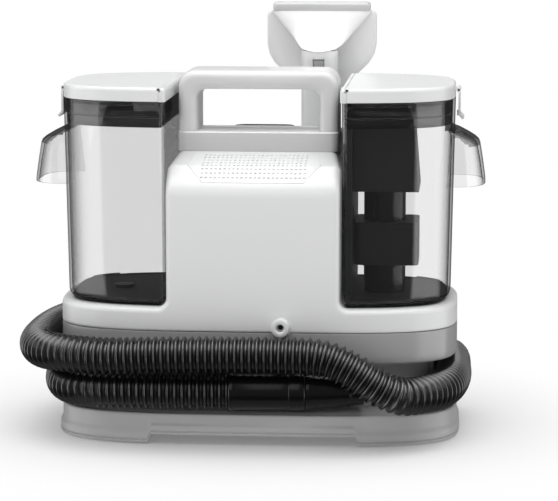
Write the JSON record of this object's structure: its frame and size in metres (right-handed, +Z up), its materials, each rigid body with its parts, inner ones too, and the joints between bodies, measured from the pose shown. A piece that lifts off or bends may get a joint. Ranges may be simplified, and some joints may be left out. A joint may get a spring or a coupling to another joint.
{
  "type": "carpet cleaner machine",
  "caption": "Portable spot carpet cleaner with lift-out clear tanks either side of a handled motor column, a suction hose wound round its base and a hand tool stowed behind.",
  "frame": {"origin": "on the floor under the middle of the machine, measured without the free hose and the cuff and grip on it", "axes": "+X to the right as seen from the front, +Y to the back, +Z up"},
  "size_m": [0.4345, 0.2761, 0.3945],
  "materials": {
    "white_plastic": "smooth satin white moulding",
    "grey_plastic": "fine matt mid-grey moulding",
    "pale_plastic": "satin pale grey moulding",
    "clear_plastic": "clear, very slightly grey tank wall",
    "smoked_plastic": "lightly smoked tank wall",
    "dark_plastic": "dark grey moulding",
    "black_plastic": "gloss black moulding",
    "rubber": "soft black rubber",
    "hose_plastic": "glossy black-grey corrugated flexible plastic",
    "steel": "plain turned or plated steel",
    "fan_aluminium": "cast aluminium",
    "foam": "open-cell foam",
    "circuit_board": "green circuit board"
  },
  "bodies": {
    "base": {"base_pan": "pale_plastic", "rubber_feet": "rubber", "lower_housing": "grey_plastic", "deck_shell": "white_plastic", "front_cover": "white_plastic", "rear_housing": "white_plastic", "collar": "grey_plastic", "carry_handle": "pale_plastic", "vent_panel": "white_plastic", "exhaust_grille": "grey_plastic", "exhaust_filter": "foam", "button_bezel": "dark_plastic", "power_switch": "dark_plastic", "water_port": "white_plastic", "pump_body": "dark_plastic", "vacuum_motor": "steel", "fan_housing": "dark_plastic", "motor_mount": "rubber", "control_board": "circuit_board", "air_duct": "dark_plastic", "clean_dock": "dark_plastic", "tank_gaskets": "rubber", "hose_outlet": "dark_plastic", "cord_gland": "black_plastic", "tool_socket": "dark_plastic", "housing_screws": "steel", "hose": "hose_plastic", "hose_cuff": "dark_plastic", "hose_grip": "dark_plastic"},
    "button": {"power_button": "black_plastic"},
    "plunger": {"pump_plunger": "steel"},
    "fan": {"fan_impeller": "fan_aluminium"},
    "cord_hook": {"upper_cord_hook": "grey_plastic"},
    "clean_water_tank": {"clean_tank": "clear_plastic", "clean_grip": "clear_plastic", "clean_liner": "dark_plastic", "clean_rail": "white_plastic", "clean_hinge_pin": "steel"},
    "clean_tank_lid": {"clean_lid": "white_plastic", "clean_seal": "rubber"},
    "clean_tank_latch": {"clean_latch": "white_plastic"},
    "clean_tank_valve": {"clean_valve": "dark_plastic"},
    "dirty_water_tank": {"dirty_tank": "smoked_plastic", "dirty_grip": "smoked_plastic", "dirty_liner": "dark_plastic", "dirty_rail": "white_plastic", "dirty_hinge_pin": "steel", "separator_housing": "dark_plastic", "separator_tube": "dark_plastic", "air_channel": "dark_plastic"},
    "dirty_tank_lid": {"dirty_lid": "white_plastic", "dirty_seal": "rubber"},
    "dirty_tank_latch": {"dirty_latch": "white_plastic"},
    "float_valve": {"float": "dark_plastic"},
    "tool": {"tool_neck": "white_plastic", "tool_nozzle": "white_plastic", "tool_plate": "pale_plastic", "tool_lip": "grey_plastic"},
    "trigger": {"tool_trigger": "grey_plastic"},
    "release": {"tool_release": "grey_plastic"}
  },
  "joints": [
    {"name": "power_button_press", "type": "slide", "parent": "base", "child": "button", "axis": [0, 0, -1], "range_m": [0, 0.002], "stiffness_N_per_m": 400, "springref_m": -0.001},
    {"name": "pump_stroke", "type": "slide", "parent": "base", "child": "plunger", "axis": [-1, 0, 0], "range_m": [0, 0.003], "stiffness_N_per_m": 300, "springref_m": -0.001},
    {"name": "fan_spin", "type": "hinge", "parent": "base", "child": "fan", "pos_m": [0, 0.005, 0.1], "axis": [0, 0, 1], "continuous": true},
    {"name": "cord_hook_swivel", "type": "hinge", "parent": "base", "child": "cord_hook", "pos_m": [-0.045, 0.085, 0.236], "axis": [0, 1, 0], "range_deg": [0, 180]},
    {"name": "clean_tank_lift", "type": "slide", "parent": "base", "child": "clean_water_tank", "axis": [0, 0, 1], "range_m": [0, 0.2]},
    {"name": "clean_lid_hinge", "type": "hinge", "parent": "clean_water_tank", "child": "clean_tank_lid", "pos_m": [-0.085, -0.015, 0.3252], "axis": [0, 1, 0], "range_deg": [0, 85]},
    {"name": "clean_latch_hinge", "type": "hinge", "parent": "clean_tank_lid", "child": "clean_tank_latch", "pos_m": [-0.1844, -0.015, 0.3202], "axis": [0, 1, 0], "range_deg": [0, 70]},
    {"name": "clean_valve_lift", "type": "slide", "parent": "clean_water_tank", "child": "clean_tank_valve", "axis": [0, 0, 1], "range_m": [0, 0.004], "stiffness_N_per_m": 120, "springref_m": -0.003},
    {"name": "dirty_tank_lift", "type": "slide", "parent": "base", "child": "dirty_water_tank", "axis": [0, 0, 1], "range_m": [0, 0.2]},
    {"name": "dirty_lid_hinge", "type": "hinge", "parent": "dirty_water_tank", "child": "dirty_tank_lid", "pos_m": [0.085, -0.015, 0.3252], "axis": [0, -1, 0], "range_deg": [0, 85]},
    {"name": "dirty_latch_hinge", "type": "hinge", "parent": "dirty_tank_lid", "child": "dirty_tank_latch", "pos_m": [0.1844, -0.015, 0.3202], "axis": [0, -1, 0], "range_deg": [0, 70]},
    {"name": "float_rise", "type": "slide", "parent": "dirty_water_tank", "child": "float_valve", "axis": [0, 0, 1], "range_m": [0, 0.028]},
    {"name": "tool_lift", "type": "slide", "parent": "base", "child": "tool", "axis": [0, 0, 1], "range_m": [0, 0.065]},
    {"name": "trigger_pull", "type": "hinge", "parent": "tool", "child": "trigger", "pos_m": [0.05, 0.083, 0.31], "axis": [-1, 0, 0], "range_deg": [0, 6], "stiffness_Nm_per_rad": 0.15, "springref_deg": -11.46},
    {"name": "release_press", "type": "slide", "parent": "tool", "child": "release", "axis": [0, 1, 0], "range_m": [0, 0.0012], "stiffness_N_per_m": 400, "springref_m": -0.0008}
  ]
}
